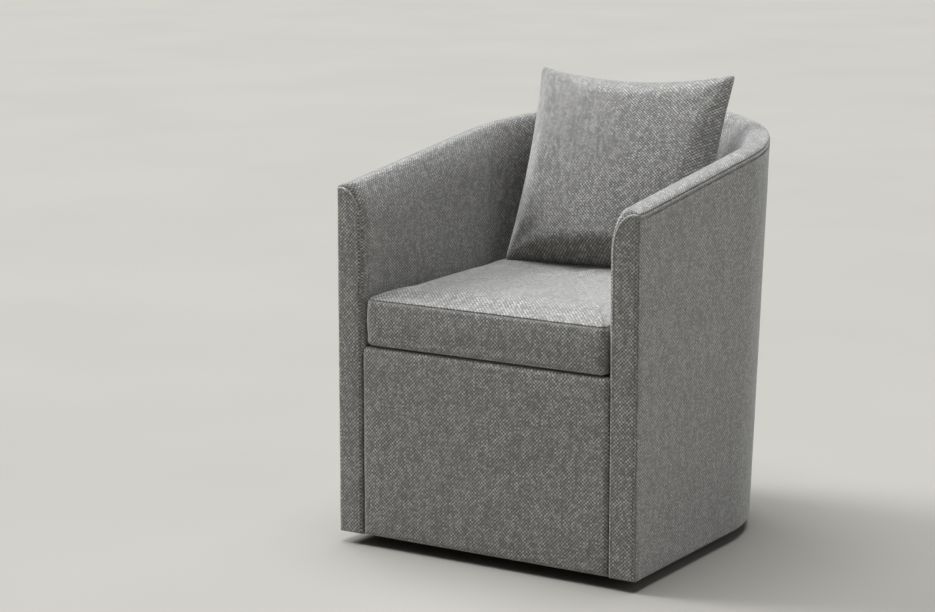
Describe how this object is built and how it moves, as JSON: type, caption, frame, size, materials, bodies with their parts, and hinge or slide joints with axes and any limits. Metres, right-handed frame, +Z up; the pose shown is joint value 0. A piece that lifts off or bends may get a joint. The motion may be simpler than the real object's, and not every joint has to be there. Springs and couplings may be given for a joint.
{
  "type": "swivel office chair",
  "caption": "Barrel-shaped upholstered swivel chair with a loose seat cushion, a back pillow and a caster base hidden inside a full skirted shell.",
  "frame": {"origin": "centre of the footprint on the floor", "axes": "+Z up, the chair's front faces -Y, +X across its width"},
  "size_m": [0.6, 0.72, 0.8093],
  "materials": {
    "tweed": "matte",
    "foam": "matte",
    "wadding": "matte",
    "felt": "matte",
    "dust_cloth": "matte",
    "plywood": "matte",
    "hardwood": "matte",
    "spring_steel": "satin",
    "zinc_steel": "satin",
    "ball_steel": "polished",
    "brass": "satin",
    "black_steel": "satin",
    "cast_aluminium": "satin",
    "black_nylon": "matte",
    "grey_nylon": "satin"
  },
  "bodies": {
    "base": {"star_base": "cast_aluminium", "grip_sleeves": "black_nylon", "column": "black_steel", "lower_race": "zinc_steel", "bearing_balls": "ball_steel", "ball_cage": "brass", "kingpin": "zinc_steel", "kingpin_washer": "zinc_steel", "kingpin_nut": "zinc_steel"},
    "chair_body": {"outside_cover": "tweed", "shell_board": "plywood", "arm_back_foam": "foam", "inside_cover": "tweed", "arm_facing_left": "tweed", "arm_facing_right": "tweed", "front_cover": "tweed", "front_padding": "foam", "front_board": "plywood", "front_rail": "hardwood", "side_rail_left": "hardwood", "side_rail_right": "hardwood", "back_rail": "hardwood", "corner_blocks": "hardwood", "swivel_board": "plywood", "stretchers": "hardwood", "dust_cover": "dust_cloth", "frame_screws": "zinc_steel", "sinuous_springs": "spring_steel", "spring_clips": "zinc_steel", "deck_pad": "felt", "swivel_plate": "black_steel", "upper_race": "zinc_steel", "swivel_bolts": "zinc_steel", "tee_nuts": "zinc_steel"},
    "seat_cushion": {"seat_cushion_core": "foam", "seat_cushion_cover": "tweed"},
    "back_pillow": {"pillow_insert": "wadding", "pillow_cover": "tweed"},
    "caster_1": {"caster_hood_1": "black_nylon", "caster_stem_1": "zinc_steel"},
    "wheels_1": {"caster_wheels_1": "grey_nylon", "caster_axle_1": "zinc_steel"},
    "caster_2": {"caster_hood_2": "black_nylon", "caster_stem_2": "zinc_steel"},
    "wheels_2": {"caster_wheels_2": "grey_nylon", "caster_axle_2": "zinc_steel"},
    "caster_3": {"caster_hood_3": "black_nylon", "caster_stem_3": "zinc_steel"},
    "wheels_3": {"caster_wheels_3": "grey_nylon", "caster_axle_3": "zinc_steel"},
    "caster_4": {"caster_hood_4": "black_nylon", "caster_stem_4": "zinc_steel"},
    "wheels_4": {"caster_wheels_4": "grey_nylon", "caster_axle_4": "zinc_steel"},
    "caster_5": {"caster_hood_5": "black_nylon", "caster_stem_5": "zinc_steel"},
    "wheels_5": {"caster_wheels_5": "grey_nylon", "caster_axle_5": "zinc_steel"}
  },
  "joints": [
    {"name": "chair_swivel", "type": "hinge", "parent": "base", "child": "chair_body", "pos_m": [0, -0.02, 0.136], "axis": [0, 0, 1], "continuous": true},
    {"name": "seat_cushion_lift", "type": "slide", "parent": "chair_body", "child": "seat_cushion", "axis": [0, 0, 1], "range_m": [0, 0.15]},
    {"name": "back_pillow_lift", "type": "slide", "parent": "seat_cushion", "child": "back_pillow", "axis": [0, 0, 1], "range_m": [0, 0.15]},
    {"name": "caster_swivel_1", "type": "hinge", "parent": "base", "child": "caster_1", "pos_m": [0, -0.225, 0.07], "axis": [0, 0, 1], "continuous": true},
    {"name": "wheel_roll_1", "type": "hinge", "parent": "caster_1", "child": "wheels_1", "pos_m": [0.01879, -0.21816, 0.025], "axis": [-0.342, 0.9397, 0], "continuous": true},
    {"name": "caster_swivel_2", "type": "hinge", "parent": "base", "child": "caster_2", "pos_m": [0.19497, -0.08335, 0.07], "axis": [0, 0, 1], "continuous": true},
    {"name": "wheel_roll_2", "type": "hinge", "parent": "caster_2", "child": "wheels_2", "pos_m": [0.18651, -0.06522, 0.025], "axis": [-0.9063, -0.4226, 0], "continuous": true},
    {"name": "caster_swivel_3", "type": "hinge", "parent": "base", "child": "caster_3", "pos_m": [0.1205, 0.14585, 0.07], "axis": [0, 0, 1], "continuous": true},
    {"name": "wheel_roll_3", "type": "hinge", "parent": "caster_3", "child": "wheels_3", "pos_m": [0.1017, 0.13901, 0.025], "axis": [0.342, -0.9397, 0], "continuous": true},
    {"name": "caster_swivel_4", "type": "hinge", "parent": "base", "child": "caster_4", "pos_m": [-0.1205, 0.14585, 0.07], "axis": [0, 0, 1], "continuous": true},
    {"name": "wheel_roll_4", "type": "hinge", "parent": "caster_4", "child": "wheels_4", "pos_m": [-0.10764, 0.13053, 0.025], "axis": [0.766, 0.6428, 0], "continuous": true},
    {"name": "caster_swivel_5", "type": "hinge", "parent": "base", "child": "caster_5", "pos_m": [-0.19497, -0.08335, 0.07], "axis": [0, 0, 1], "continuous": true},
    {"name": "wheel_roll_5", "type": "hinge", "parent": "caster_5", "child": "wheels_5", "pos_m": [-0.18979, -0.06403, 0.025], "axis": [-0.9659, 0.2588, 0], "continuous": true}
  ]
}
